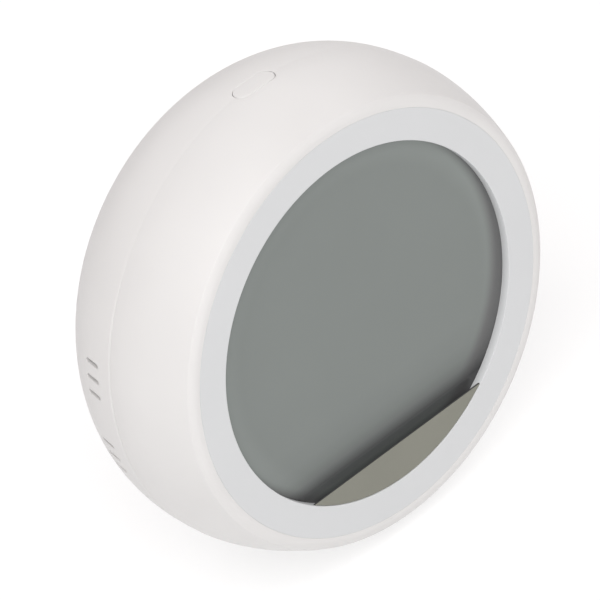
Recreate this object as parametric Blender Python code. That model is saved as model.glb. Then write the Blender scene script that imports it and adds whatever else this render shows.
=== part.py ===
"""Desktop air quality monitor: a round housing with a recessed liquid crystal display.

The housing is a solid of revolution about a horizontal axis that runs along Y. The display
faces -Y, the push button is on top and the rubber foot is at the bottom, on z = 0.
Every length is in metres; MM turns millimetres into metres.
"""
import math

import bmesh
import bpy
from mathutils import Matrix

MM = 0.001

# Driving dimensions of the housing
BODY_RADIUS = 43.0 * MM
BODY_DEPTH = 38.0 * MM
FRONT_Y = -BODY_DEPTH / 2
BACK_Y = BODY_DEPTH / 2
WIDEST_Y = FRONT_Y + 13.6 * MM
SEAM_Y = WIDEST_Y + 2.1 * MM
FRONT_REACH = 43.9 * MM
FRONT_POWER = 1.675
REAR_REACH = 28.2 * MM
REAR_POWER = 2.473
CENTRE_Z = 42.7 * MM
WALL = 2.0 * MM
GAP = 0.3 * MM
SEAM_CHAMFER = 0.3 * MM
EDGE_FILLET = 0.5 * MM
FLAT_Z = 1.0 * MM
ROUND_STEPS = 60

# Cutters through the wall reach from inside to outside of it
WALL_CUT_START = 38.0 * MM
WALL_CUT_END = 46.0 * MM

# Display opening, counted from the front face
RING_OUTER_RADIUS = 37.2 * MM
RING_INNER_RADIUS = 31.7 * MM
RING_THICKNESS = 1.3 * MM
LCD_Y = FRONT_Y + RING_THICKNESS + GAP
LCD_RADIUS = 34.0 * MM
GLASS_THICKNESS = 1.1 * MM
CHORD_DROP = 25.0 * MM
LEDGE_DROP = 31.4 * MM
REAR_GLASS_DROP = 26.8 * MM
COVER_THICKNESS = 0.4 * MM
COVER_SETBACK = 0.1 * MM
LIGHT_GUIDE_THICKNESS = 2.0 * MM
REFLECTOR_THICKNESS = 0.3 * MM
SEAT_THICKNESS = 1.5 * MM
SEAT_INNER_RADIUS = 36.1 * MM
FRAME_RADIUS = SEAT_INNER_RADIUS - GAP
FRAME_FLANGE_RADIUS = RING_OUTER_RADIUS
FRAME_FLANGE_THICKNESS = 0.9 * MM
FRAME_FLOOR_THICKNESS = 1.0 * MM

# Stack of layers behind the display
GUIDE_Y = LCD_Y + 2 * GLASS_THICKNESS + GAP
REFLECTOR_Y = GUIDE_Y + LIGHT_GUIDE_THICKNESS + GAP
FRAME_FLOOR_Y = REFLECTOR_Y + REFLECTOR_THICKNESS + GAP
FRAME_BACK_Y = FRAME_FLOOR_Y + FRAME_FLOOR_THICKNESS
BOARD_Y = FRAME_BACK_Y + 2.0 * MM
BOARD_THICKNESS = 1.6 * MM
BOARD_RADIUS = 34.5 * MM
BOARD_BACK_Y = BOARD_Y + BOARD_THICKNESS
PARTS_Y = BOARD_BACK_Y + GAP

# Push button on the seam
BUTTON_HALF_LENGTH = 4.15 * MM
BUTTON_HALF_WIDTH = 1.95 * MM
BUTTON_RISE = 0.1 * MM
BUTTON_CLEARANCE = 0.2 * MM
BUTTON_FLANGE_MARGIN = 1.2 * MM
BUTTON_FLANGE_TOP = 39.9 * MM
BUTTON_FLANGE_THICKNESS = 1.0 * MM
BUTTON_STEM_RADIUS = 1.2 * MM
BUTTON_STEM_LENGTH = 1.3 * MM
SWITCH_TOP = 36.4 * MM
SWITCH_HEIGHT = 3.5 * MM
SWITCH_HALF_WIDTH = 3.1 * MM
PLUNGER_RADIUS = 1.0 * MM
PLUNGER_TOP = 37.3 * MM
PLUNGER_LENGTH = 2.4 * MM
PLUNGER_HOLE_DEPTH = 2.4 * MM

# Air vents on both sides of the rear shell
VENT_LENGTH = 3.7 * MM
VENT_WIDTH = 0.9 * MM
VENT_Y = WIDEST_Y + 7.45 * MM
VENT_DROP_DEG = 0.7
VENT_GROUP_DEG = 10.8
VENT_PITCH_DEG = 4.0

# Screws: the shell screws pull the rear shell and the display frame together
SHELL_SCREW_CIRCLE = 23.0 * MM
SHELL_SCREW_DEG = (90, 210, 330)
POST_RADIUS = 3.2 * MM
POST_END_Y = -2.4 * MM
POST_FLOOR_Y = 2.5 * MM
WELL_RADIUS = 1.9 * MM
SHANK_HOLE_RADIUS = 1.3 * MM
BOSS_RADIUS = 3.0 * MM
BOARD_SCREW_CIRCLE = 29.0 * MM
BOARD_SCREW_DEG = (30, 150)
LOW_BOARD_SCREW_DROP = 23.0 * MM
PAD_RADIUS = 2.6 * MM
SMALL_HOLE_RADIUS = 1.1 * MM
POWER_SCREW_OFFSET = 9.5 * MM

# Power board and its socket in the back wall
SOCKET_DROP = 16.0 * MM
SOCKET_HALF_LENGTH = 4.47 * MM
SOCKET_HALF_WIDTH = 1.6 * MM
SOCKET_WALL = 0.3 * MM
SOCKET_SETBACK = 0.5 * MM
POWER_BOARD_Y = 10.6 * MM
POWER_BOARD_BACK_Y = POWER_BOARD_Y + BOARD_THICKNESS
POWER_SCREW_DROP = 11.5 * MM

CENTRE = (0.0, 0.0, CENTRE_Z)

WHITE_SHELL = ((0.86, 0.855, 0.84), 0.55, 0.0)
COOL_WHITE = ((0.78, 0.79, 0.80), 0.4, 0.0)
BOARD_GREEN = ((0.03, 0.16, 0.08), 0.45, 0.0)
CHIP_BLACK = ((0.02, 0.02, 0.022), 0.5, 0.0)
NICKEL = ((0.62, 0.61, 0.58), 0.3, 1.0)
SCREW_STEEL = ((0.35, 0.35, 0.36), 0.35, 1.0)


def clear_scene():
    for item in list(bpy.data.objects):
        bpy.data.objects.remove(item, do_unlink=True)


def make_material(name, finish):
    colour, roughness, metallic = finish
    material = bpy.data.materials.new(name)
    material.use_nodes = True
    shader = material.node_tree.nodes["Principled BSDF"]
    shader.inputs["Base Color"].default_value = (*colour, 1.0)
    shader.inputs["Roughness"].default_value = roughness
    shader.inputs["Metallic"].default_value = metallic
    return material


def add_object(name, shape, location, finish=None, smooth=True):
    """Turn a bmesh into an object; without a finish it is a hidden cutter or guide."""
    bmesh.ops.recalc_face_normals(shape, faces=shape.faces)
    mesh = bpy.data.meshes.new(name)
    shape.to_mesh(mesh)
    shape.free()
    item = bpy.data.objects.new(name, mesh)
    item.location = location
    bpy.context.scene.collection.objects.link(item)
    if smooth:
        mesh.shade_smooth()
        mesh.set_sharp_from_angle(angle=math.radians(30))
    if finish:
        mesh.materials.append(make_material(name, finish))
    else:
        item.hide_render = True
        item.display_type = "WIRE"
    return item


def boolean(target, other, operation):
    modifier = target.modifiers.new(operation.lower(), "BOOLEAN")
    modifier.operation = operation
    modifier.solver = "EXACT"
    modifier.object = other


def cut(target, cutter):
    boolean(target, cutter, "DIFFERENCE")


def lathe(name, profile, finish=None, location=CENTRE, steps=ROUND_STEPS):
    """Spin (radius, y) points about the Y axis: a closed ring, or a solid that meets the axis."""
    shape = bmesh.new()
    points = [shape.verts.new((radius, y, 0.0)) for radius, y in profile]
    for start, end in zip(points, points[1:]):
        shape.edges.new((start, end))
    if profile[0][0] > 0.0:
        shape.edges.new((points[-1], points[0]))
    outline = shape.verts[:] + shape.edges[:]
    bmesh.ops.spin(shape, geom=outline, cent=(0, 0, 0), axis=(0, 1, 0),
                   angle=math.tau, steps=steps, use_merge=True)
    bmesh.ops.remove_doubles(shape, verts=shape.verts, dist=0.000001)
    return add_object(name, shape, location, finish)


def add_prism(shape, outline, axis, low, high):
    """Extrude a closed outline along an axis, inside an open bmesh; return its vertices."""
    place = {
        "X": lambda u, v: (low, u, v),
        "Y": lambda u, v: (u, low, v),
        "Z": lambda u, v: (u, v, low),
    }[axis]
    step = {"X": (high - low, 0, 0), "Y": (0, high - low, 0), "Z": (0, 0, high - low)}[axis]
    base = [shape.verts.new(place(u, v)) for u, v in outline]
    face = shape.faces.new(base)
    grown = bmesh.ops.extrude_face_region(shape, geom=[face])["geom"]
    top = [part for part in grown if isinstance(part, bmesh.types.BMVert)]
    bmesh.ops.translate(shape, vec=step, verts=top)
    return base + top


def prism(name, outline, axis, low, high, finish=None, location=CENTRE):
    shape = bmesh.new()
    add_prism(shape, outline, axis, low, high)
    return add_object(name, shape, location, finish)


def arc(centre_u, centre_v, radius, start_deg, end_deg, steps):
    """Points along an arc, both ends included."""
    points = []
    for step in range(steps + 1):
        angle = math.radians(start_deg + (end_deg - start_deg) * step / steps)
        points.append((centre_u + radius * math.cos(angle), centre_v + radius * math.sin(angle)))
    return points


def circle(radius, centre=(0.0, 0.0), steps=12):
    """Points round a circle, turned a little so that none falls on a facet edge it cuts."""
    phase = 7.0
    return arc(centre[0], centre[1], radius, phase, phase + 360, steps)[:-1]


def pill(half_length, half_width, centre=(0.0, 0.0), steps=6):
    straight = half_length - half_width
    right = arc(centre[0] + straight, centre[1], half_width, -90, 90, steps)
    left = arc(centre[0] - straight, centre[1], half_width, 90, 270, steps)
    return right + left


def rounded_rectangle(low, high, corner=0.3 * MM, steps=2):
    """Rectangle between two opposite corners, with each corner rounded."""
    (low_u, low_v), (high_u, high_v) = low, high
    right_u, left_u = high_u - corner, low_u + corner
    top_v, bottom_v = high_v - corner, low_v + corner
    points = arc(right_u, top_v, corner, 0, 90, steps)
    points += arc(left_u, top_v, corner, 90, 180, steps)
    points += arc(left_u, bottom_v, corner, 180, 270, steps)
    points += arc(right_u, bottom_v, corner, 270, 360, steps)
    return points


def disc_with_flat(radius, drop, steps=48):
    """A disc whose bottom is cut off by a level line, drop below its centre."""
    flat_deg = math.degrees(math.asin(drop / radius))
    return arc(0.0, 0.0, radius, -flat_deg, 180 + flat_deg, steps)


def disc_segment(radius, drop, steps=14):
    """The part of a disc below a level line, drop below its centre."""
    flat_deg = math.degrees(math.asin(drop / radius))
    return arc(0.0, 0.0, radius, 180 + flat_deg, 360 - flat_deg, steps)


def on_circle(radius, degrees):
    angle = math.radians(degrees)
    return radius * math.cos(angle), radius * math.sin(angle)


def body_radius(y, inset=0.0):
    """Radius of the housing at y; an inset gives the inner face of its wall."""
    reach, power = FRONT_REACH, FRONT_POWER
    if y > WIDEST_Y:
        reach, power = REAR_REACH, REAR_POWER
    share = abs(y - WIDEST_Y) / (reach - inset)
    return (BODY_RADIUS - inset) * (1.0 - share ** power) ** (1.0 / power)


def body_curve(start_y, end_y, steps, inset=0.0):
    """Points along the side of the housing, both ends included."""
    span = end_y - start_y
    levels = [start_y + span * step / steps for step in range(steps + 1)]
    return [(body_radius(y, inset), y) for y in levels]


def front_corner():
    """The small fillet between the front face and the side."""
    corner_y = FRONT_Y + EDGE_FILLET
    radius = body_radius(corner_y) - EDGE_FILLET
    return arc(radius, corner_y, EDGE_FILLET, -90, -15, 3)


def back_corner():
    """The rounded shoulder between the side and the flat back."""
    side = body_curve(BACK_Y - 2.2 * MM, BACK_Y - 0.8 * MM, 2)
    edge_radius = body_radius(BACK_Y) - 1.4 * MM
    return side + [(body_radius(BACK_Y - 0.25 * MM) - 0.3 * MM, BACK_Y - 0.25 * MM), (edge_radius, BACK_Y)]


def shell_screw_places():
    return [on_circle(SHELL_SCREW_CIRCLE, degrees) for degrees in SHELL_SCREW_DEG]


def board_screw_places():
    places = [on_circle(BOARD_SCREW_CIRCLE, degrees) for degrees in BOARD_SCREW_DEG]
    return places + [(0.0, -LOW_BOARD_SCREW_DROP)]


def power_screw_places():
    return [(side * POWER_SCREW_OFFSET, -POWER_SCREW_DROP) for side in (-1, 1)]


def group_of_cylinders(name, places, radius, low, high):
    """One cutter or guide made of separate cylinders along Y."""
    shape = bmesh.new()
    for place in places:
        add_prism(shape, circle(radius, place), "Y", low, high)
    return add_object(name, shape, CENTRE)


def foot_flat_cutter():
    """Takes the round underside off, level with the face that the foot is glued to."""
    outline = rounded_rectangle((-20 * MM, FRONT_Y + MM), (20 * MM, BACK_Y - MM))
    return prism("foot_flat_cutter", outline, "Z", -10 * MM, FLAT_Z, location=(0, 0, 0))


def button_hole_cutter():
    outline = pill(BUTTON_HALF_LENGTH + BUTTON_CLEARANCE, BUTTON_HALF_WIDTH + BUTTON_CLEARANCE,
                   (0.0, SEAM_Y))
    return prism("button_hole_cutter", outline, "Z", WALL_CUT_START, WALL_CUT_END)


def front_shell_profile():
    """Lip around the ring, side down to the seam, inner wall, and the seat for the display."""
    lip_radius = RING_OUTER_RADIUS + GAP
    seat_y = LCD_Y + FRAME_FLANGE_THICKNESS + GAP
    seat_back_y = seat_y + SEAT_THICKNESS
    edge_y = SEAM_Y - GAP / 2
    profile = [(lip_radius, FRONT_Y)]
    profile += front_corner()
    profile += body_curve(FRONT_Y + 1.6 * MM, WIDEST_Y, 6)
    profile += [(body_radius(edge_y), edge_y - SEAM_CHAMFER)]
    profile += [(body_radius(edge_y) - SEAM_CHAMFER, edge_y)]
    profile += body_curve(edge_y, seat_back_y, 3, WALL)
    profile += [(SEAT_INNER_RADIUS, seat_back_y), (SEAT_INNER_RADIUS, seat_y), (lip_radius, seat_y)]
    return profile


def build_front_shell(flat_cutter, hole_cutter):
    shell = lathe("front_shell", front_shell_profile(), WHITE_SHELL)
    cut(shell, flat_cutter)
    cut(shell, hole_cutter)


def rear_shell_profile():
    """Inner floor and wall, the tongue that reaches inside the front shell, side and back."""
    edge_y = SEAM_Y + GAP / 2
    tongue_outer = body_radius(SEAM_Y, WALL) - GAP
    tongue_inner = tongue_outer - 1.2 * MM
    tongue_end_y = SEAM_Y - 2.3 * MM
    floor_y = BACK_Y - WALL
    profile = [(0.0, floor_y)]
    profile += body_curve(floor_y, SEAM_Y + 2.1 * MM, 6, WALL)
    profile += [(tongue_inner, SEAM_Y + 1.3 * MM), (tongue_inner, tongue_end_y)]
    profile += [(tongue_outer, tongue_end_y), (tongue_outer, edge_y)]
    profile += [(body_radius(edge_y) - SEAM_CHAMFER, edge_y)]
    profile += body_curve(edge_y + SEAM_CHAMFER, BACK_Y - 3.8 * MM, 8)
    profile += back_corner()
    profile += [(0.0, BACK_Y)]
    return profile


def turn_about_axis(degrees):
    """Turn about the housing's axis that carries +X towards +Z."""
    return Matrix.Rotation(math.radians(-degrees), 3, "Y")


def vent_cutter():
    """Three slots in each of four groups, cut radially through the side of the rear shell."""
    shape = bmesh.new()
    outline = pill(VENT_LENGTH / 2, VENT_WIDTH / 2, (VENT_Y, 0.0), steps=3)
    for side_deg in (-VENT_DROP_DEG, 180 + VENT_DROP_DEG):
        for group_deg in (-VENT_GROUP_DEG, VENT_GROUP_DEG):
            for slot in (-1, 0, 1):
                turn = turn_about_axis(side_deg + group_deg + slot * VENT_PITCH_DEG)
                slot_verts = add_prism(shape, outline, "X", WALL_CUT_START, WALL_CUT_END)
                bmesh.ops.rotate(shape, cent=(0, 0, 0), matrix=turn, verts=slot_verts)
    return add_object("vent_cutter", shape, CENTRE)


def add_inner_posts(shell):
    """Posts for the shell screws and pegs for the power board, grown from the back wall."""
    root_y = BACK_Y - WALL + 0.5 * MM
    posts = group_of_cylinders("shell_posts", shell_screw_places(), POST_RADIUS,
                               POST_END_Y, root_y)
    pegs = group_of_cylinders("power_board_pegs", power_screw_places(), 1.8 * MM,
                              POWER_BOARD_BACK_Y + GAP, root_y)
    boolean(shell, posts, "UNION")
    boolean(shell, pegs, "UNION")


def cut_rear_holes(shell):
    """Screw wells and holes, and the opening for the power socket."""
    cut(shell, group_of_cylinders("screw_wells", shell_screw_places(), WELL_RADIUS,
                                  POST_FLOOR_Y, BACK_Y + MM))
    cut(shell, group_of_cylinders("shank_holes", shell_screw_places(), SHANK_HOLE_RADIUS,
                                  POST_END_Y - MM, POST_FLOOR_Y + MM))
    cut(shell, group_of_cylinders("peg_holes", power_screw_places(), SMALL_HOLE_RADIUS,
                                  POWER_BOARD_BACK_Y, POWER_BOARD_BACK_Y + 3.5 * MM))
    outline = pill(SOCKET_HALF_LENGTH + GAP, SOCKET_HALF_WIDTH + GAP, (0.0, -SOCKET_DROP))
    cut(shell, prism("socket_hole_cutter", outline, "Y", BACK_Y - WALL - MM, BACK_Y + MM))


def build_rear_shell(flat_cutter, hole_cutter):
    shell = lathe("rear_shell", rear_shell_profile(), WHITE_SHELL)
    add_inner_posts(shell)
    cut_rear_holes(shell)
    cut(shell, vent_cutter())
    cut(shell, flat_cutter)
    cut(shell, hole_cutter)
    flange_room = rounded_rectangle((-7 * MM, SEAM_Y - 4 * MM), (7 * MM, SEAM_Y + 3.8 * MM))
    cut(shell, prism("button_room_cutter", flange_room, "Z", 37 * MM, 40.8 * MM))


def build_bezel_ring():
    back_y = FRONT_Y + RING_THICKNESS
    profile = [(RING_INNER_RADIUS, FRONT_Y), (RING_OUTER_RADIUS, FRONT_Y),
               (RING_OUTER_RADIUS, back_y), (RING_INNER_RADIUS, back_y)]
    lathe("bezel_ring", profile, COOL_WHITE)


def build_ledge_cover():
    """Flat plate in the ring's opening that hides the contact ledge of the display glass."""
    outline = disc_segment(RING_INNER_RADIUS - GAP, CHORD_DROP)
    low = FRONT_Y + COVER_SETBACK
    prism("ledge_cover", outline, "Y", low, low + COVER_THICKNESS, ((0.27, 0.27, 0.22), 0.4, 0.0))


def build_display_frame():
    """Cup that holds the display stack, with its flange in front of the shell's seat."""
    inner = LCD_RADIUS + GAP
    flange_back_y = LCD_Y + FRAME_FLANGE_THICKNESS
    profile = [(0.0, FRAME_FLOOR_Y), (inner, FRAME_FLOOR_Y), (inner, LCD_Y),
               (FRAME_FLANGE_RADIUS, LCD_Y), (FRAME_FLANGE_RADIUS, flange_back_y),
               (FRAME_RADIUS, flange_back_y), (FRAME_RADIUS, FRAME_BACK_Y), (0.0, FRAME_BACK_Y)]
    frame = lathe("display_frame", profile, ((0.75, 0.75, 0.74), 0.6, 0.0))
    root_y = FRAME_BACK_Y - 0.5 * MM
    bosses = group_of_cylinders("frame_bosses", shell_screw_places(), BOSS_RADIUS,
                                root_y, POST_END_Y - GAP)
    pads = group_of_cylinders("frame_pads", board_screw_places(), PAD_RADIUS,
                              root_y, BOARD_Y - GAP)
    boolean(frame, bosses, "UNION")
    boolean(frame, pads, "UNION")
    cut(frame, group_of_cylinders("boss_holes", shell_screw_places(), SHANK_HOLE_RADIUS,
                                  FRAME_BACK_Y + 0.5 * MM, 0.0))
    cut(frame, group_of_cylinders("pad_holes", board_screw_places(), SMALL_HOLE_RADIUS,
                                  FRAME_FLOOR_Y - MM, BOARD_Y))
    window = rounded_rectangle((-11.5 * MM, -31.5 * MM), (11.5 * MM, -29.0 * MM))
    cut(frame, prism("strip_window", window, "Y", FRAME_FLOOR_Y - MM, FRAME_BACK_Y + MM))


def build_lcd_panel():
    """Two bonded glass plates; the front one reaches lower and carries the contacts."""
    overlap = 0.1 * MM
    front_back_y = LCD_Y + GLASS_THICKNESS
    panel = prism("lcd_panel", disc_with_flat(LCD_RADIUS, LEDGE_DROP), "Y", LCD_Y, front_back_y,
                  ((0.24, 0.26, 0.25), 0.2, 0.0))
    rear_outline = disc_with_flat(LCD_RADIUS - 0.2 * MM, REAR_GLASS_DROP)
    rear = prism("rear_glass", rear_outline, "Y", front_back_y - overlap, front_back_y + GLASS_THICKNESS)
    boolean(panel, rear, "UNION")


def build_backlight():
    outline = disc_with_flat(LCD_RADIUS - GAP, REAR_GLASS_DROP)
    prism("light_guide", outline, "Y", GUIDE_Y, GUIDE_Y + LIGHT_GUIDE_THICKNESS,
          ((0.85, 0.87, 0.86), 0.1, 0.0))
    prism("reflector_sheet", outline, "Y", REFLECTOR_Y, REFLECTOR_Y + REFLECTOR_THICKNESS,
          ((0.9, 0.9, 0.9), 0.3, 0.0))
    for name, side in (("backlight_led_left", -1), ("backlight_led_right", 1)):
        low = (side * 7.0 * MM - 1.75 * MM, -REAR_GLASS_DROP - 1.6 * MM)
        high = (side * 7.0 * MM + 1.75 * MM, -REAR_GLASS_DROP - GAP)
        prism(name, rounded_rectangle(low, high, 0.1 * MM), "Y", GUIDE_Y + 0.3 * MM,
              GUIDE_Y + 1.7 * MM, ((0.9, 0.85, 0.6), 0.3, 0.0))


def build_zebra_strip():
    """Elastomer strip that joins the contacts on the glass to the main board."""
    outline = rounded_rectangle((-11.0 * MM, -31.2 * MM), (11.0 * MM, -29.3 * MM))
    prism("zebra_strip", outline, "Y", LCD_Y + GLASS_THICKNESS + GAP, BOARD_Y - GAP,
          ((0.35, 0.30, 0.28), 0.7, 0.0))


def build_main_board():
    board = prism("main_board", circle(BOARD_RADIUS, steps=48), "Y", BOARD_Y, BOARD_BACK_Y,
                  BOARD_GREEN)
    low, high = BOARD_Y - MM, BOARD_BACK_Y + MM
    cut(board, group_of_cylinders("board_boss_holes", shell_screw_places(),
                                  BOSS_RADIUS + GAP, low, high))
    cut(board, group_of_cylinders("board_screw_holes", board_screw_places(),
                                  SMALL_HOLE_RADIUS, low, high))


def build_board_parts():
    """Components on the rear face of the main board, as name, corners, height and finish."""
    boxes = (
        ("mcu_chip", (-3, -9), (6, 0), 1.0, CHIP_BLACK),
        ("wifi_module", (-22, -4), (-6, 20), 0.8, BOARD_GREEN),
        ("sensor_header", (-32.7, -5), (-30.2, 5), 8.1, CHIP_BLACK),
        ("co2_header", (27.7, -7), (30.3, 7), 6.3, CHIP_BLACK),
        ("ribbon_socket_main", (-5, -15.5), (5, -12.5), 2.0, COOL_WHITE),
        ("battery_plug", (-14, -12), (-10, -9), 4.0, COOL_WHITE),
    )
    for name, low, high, height, finish in boxes:
        outline = rounded_rectangle((low[0] * MM, low[1] * MM), (high[0] * MM, high[1] * MM))
        prism(name, outline, "Y", PARTS_Y, PARTS_Y + height * MM, finish)
    shield_y = PARTS_Y + 1.1 * MM
    shield = rounded_rectangle((-21 * MM, -3 * MM), (-7 * MM, 12 * MM), 0.6 * MM)
    prism("wifi_shield", shield, "Y", shield_y, shield_y + 2.2 * MM, NICKEL)


def build_buzzer():
    place = (14.5 * MM, 6.0 * MM)
    end_y = PARTS_Y + 5.5 * MM
    buzzer = prism("buzzer", circle(5.9 * MM, place, 24), "Y", PARTS_Y, end_y, CHIP_BLACK)
    cut(buzzer, group_of_cylinders("sound_hole", [place], 1.0 * MM, end_y - 2 * MM, end_y + MM))


def build_switch():
    """Side-acting push switch at the top edge of the main board."""
    half_depth = SEAM_Y - PARTS_Y
    outline = rounded_rectangle((-SWITCH_HALF_WIDTH, PARTS_Y), (SWITCH_HALF_WIDTH, SEAM_Y + half_depth))
    body = prism("switch_body", outline, "Z", SWITCH_TOP - SWITCH_HEIGHT, SWITCH_TOP, CHIP_BLACK)
    hole = circle(PLUNGER_RADIUS + GAP, (0.0, SEAM_Y))
    cut(body, prism("plunger_hole", hole, "Z", SWITCH_TOP - PLUNGER_HOLE_DEPTH, SWITCH_TOP + MM))


def build_button():
    """Cap and switch plunger; both slide along Z and hang on one empty on the seam."""
    origin = (0.0, SEAM_Y, CENTRE_Z + BUTTON_FLANGE_TOP)
    axis_empty = bpy.data.objects.new("button_axis", None)
    axis_empty.location = origin
    bpy.context.scene.collection.objects.link(axis_empty)

    overlap, reach = 0.2 * MM, 5.0 * MM
    cap_outline = pill(BUTTON_HALF_LENGTH, BUTTON_HALF_WIDTH)
    cap = prism("button_cap", cap_outline, "Z", -overlap, reach, WHITE_SHELL, (0, 0, 0))
    front_y, back_y = SEAM_Y - reach, SEAM_Y + reach
    side = [(radius + BUTTON_RISE, y) for radius, y in body_curve(front_y, back_y, 12)]
    envelope = [(0.0, front_y)] + side + [(0.0, back_y)]
    boolean(cap, lathe("body_envelope", envelope, steps=2 * ROUND_STEPS), "INTERSECT")
    flange_outline = pill(BUTTON_HALF_LENGTH + BUTTON_FLANGE_MARGIN,
                          BUTTON_HALF_WIDTH + BUTTON_FLANGE_MARGIN)
    flange = prism("button_flange", flange_outline, "Z", -BUTTON_FLANGE_THICKNESS, 0.0,
                   location=origin)
    stem_end = -BUTTON_FLANGE_THICKNESS - BUTTON_STEM_LENGTH
    stem = prism("button_stem", circle(BUTTON_STEM_RADIUS), "Z", stem_end, -0.5 * MM,
                 location=origin)
    boolean(cap, flange, "UNION")
    boolean(cap, stem, "UNION")

    top = PLUNGER_TOP - BUTTON_FLANGE_TOP
    plunger = prism("switch_plunger", circle(PLUNGER_RADIUS), "Z", top - PLUNGER_LENGTH, top,
                    ((0.5, 0.05, 0.04), 0.5, 0.0), (0, 0, 0))
    for piece in (cap, plunger):
        piece.parent = axis_empty


def build_sensor_parts():
    """Small upright board behind the left vents, with its two sensors."""
    board = rounded_rectangle((-1 * MM, -8 * MM), (10 * MM, 8 * MM))
    prism("sensor_board", board, "X", -34.0 * MM, -33.0 * MM, BOARD_GREEN)
    climate = rounded_rectangle((1 * MM, 2.2 * MM), (3.5 * MM, 4.7 * MM), 0.2 * MM)
    prism("temp_humidity_sensor", climate, "X", -35.2 * MM, -34.3 * MM, CHIP_BLACK)
    gas = circle(3.2 * MM, (3.4 * MM, -3.6 * MM), 16)
    prism("gas_sensor", gas, "X", -36.9 * MM, -34.3 * MM, NICKEL)
    co2 = rounded_rectangle((-0.5 * MM, -10 * MM), (10.5 * MM, 10 * MM), 0.8 * MM)
    prism("co2_sensor", co2, "X", 25.0 * MM, 33.0 * MM, ((0.72, 0.55, 0.25), 0.35, 1.0))


def build_vent_meshes():
    outline = rounded_rectangle((-1.0 * MM, -10.9 * MM), (4.6 * MM, 10.9 * MM))
    for name, low, high in (("vent_mesh_left", -37.6, -37.3), ("vent_mesh_right", 37.3, 37.6)):
        prism(name, outline, "X", low * MM, high * MM, ((0.08, 0.08, 0.08), 0.8, 0.0))


def build_battery():
    outline = rounded_rectangle((-17 * MM, -7 * MM), (17 * MM, 18 * MM), 1.5 * MM)
    prism("battery", outline, "Y", 2.5 * MM, 7.5 * MM, ((0.70, 0.71, 0.73), 0.35, 0.6))
    build_battery_lead()


def build_battery_lead():
    """Two-core lead from the battery's lower edge to its plug on the main board."""
    bend = 2.0 * MM
    lead_z = CENTRE_Z - 10.5 * MM
    lead_y = 5.0 * MM
    start_y = PARTS_Y + 4.0 * MM + GAP
    route = [(start_y, lead_z)]
    route += arc(lead_y - bend, lead_z + bend, bend, -90, 0, 5)
    route += [(lead_y, CENTRE_Z - 7.0 * MM - GAP)]
    curve = bpy.data.curves.new("battery_lead", "CURVE")
    curve.dimensions = "3D"
    curve.bevel_depth = 0.7 * MM
    curve.bevel_resolution = 2
    curve.use_fill_caps = True
    spline = curve.splines.new("POLY")
    spline.points.add(len(route) - 1)
    for point, (y, z) in zip(spline.points, route):
        point.co = (-12.0 * MM, y, z, 1.0)
    curve.materials.append(make_material("battery_lead", ((0.45, 0.03, 0.02), 0.5, 0.0)))
    bpy.context.scene.collection.objects.link(bpy.data.objects.new("battery_lead", curve))


def build_power_board():
    outline = rounded_rectangle((-12 * MM, -22 * MM), (12 * MM, -9 * MM))
    board = prism("power_board", outline, "Y", POWER_BOARD_Y, POWER_BOARD_BACK_Y, BOARD_GREEN)
    cut(board, group_of_cylinders("power_board_holes", power_screw_places(), SMALL_HOLE_RADIUS,
                                  POWER_BOARD_Y - MM, POWER_BOARD_BACK_Y + MM))


def build_power_socket():
    """Flat oval socket for a power plug, open towards the back, with its contact tongue."""
    place = (0.0, -SOCKET_DROP)
    low = POWER_BOARD_BACK_Y + GAP
    floor_y = low + 0.8 * MM
    high = BACK_Y - SOCKET_SETBACK
    outer = pill(SOCKET_HALF_LENGTH, SOCKET_HALF_WIDTH, place)
    inner = pill(SOCKET_HALF_LENGTH - SOCKET_WALL, SOCKET_HALF_WIDTH - SOCKET_WALL, place)
    socket = prism("usb_socket", outer, "Y", low, high, NICKEL)
    cut(socket, prism("socket_mouth", inner, "Y", floor_y, high + MM))
    tongue = rounded_rectangle((-3.35 * MM, -SOCKET_DROP - 0.35 * MM),
                               (3.35 * MM, -SOCKET_DROP + 0.35 * MM), 0.1 * MM)
    prism("usb_tongue", tongue, "Y", floor_y + GAP, high - 0.6 * MM, CHIP_BLACK)


def build_link_ribbon():
    """Flat ribbon and its far socket, joining the power board to the main board."""
    socket = rounded_rectangle((-5 * MM, -15.5 * MM), (5 * MM, -12.5 * MM))
    socket_y = POWER_BOARD_Y - GAP - 2 * MM
    prism("ribbon_socket_power", socket, "Y", socket_y, socket_y + 2 * MM, COOL_WHITE)
    ribbon = rounded_rectangle((-3.5 * MM, -14.2 * MM), (3.5 * MM, -13.8 * MM), 0.1 * MM)
    prism("link_ribbon", ribbon, "Y", PARTS_Y + 2 * MM + GAP, socket_y - GAP,
          ((0.8, 0.8, 0.78), 0.5, 0.0))


def build_rubber_foot():
    half_width, half_depth = 8.0 * MM, 6.5 * MM
    centre_y = WIDEST_Y + 1.2 * MM
    outline = rounded_rectangle((-half_width, centre_y - half_depth),
                                (half_width, centre_y + half_depth), 3.5 * MM, 6)
    prism("rubber_foot", outline, "Z", 0.0, FLAT_Z - GAP, ((0.55, 0.55, 0.54), 0.8, 0.0), (0, 0, 0))


def screw_mesh_profile(head_radius, head_height, shank_radius, shank_length):
    """Profile of a pan-head screw: its head towards +Y, the underside of the head at y = 0."""
    point = 0.4 * MM
    return [(0.0, head_height), (head_radius * 0.8, head_height), (head_radius, head_height * 0.6),
            (head_radius, 0.0), (shank_radius, 0.0), (shank_radius, point - shank_length),
            (shank_radius * 0.5, -shank_length), (0.0, -shank_length)]


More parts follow.
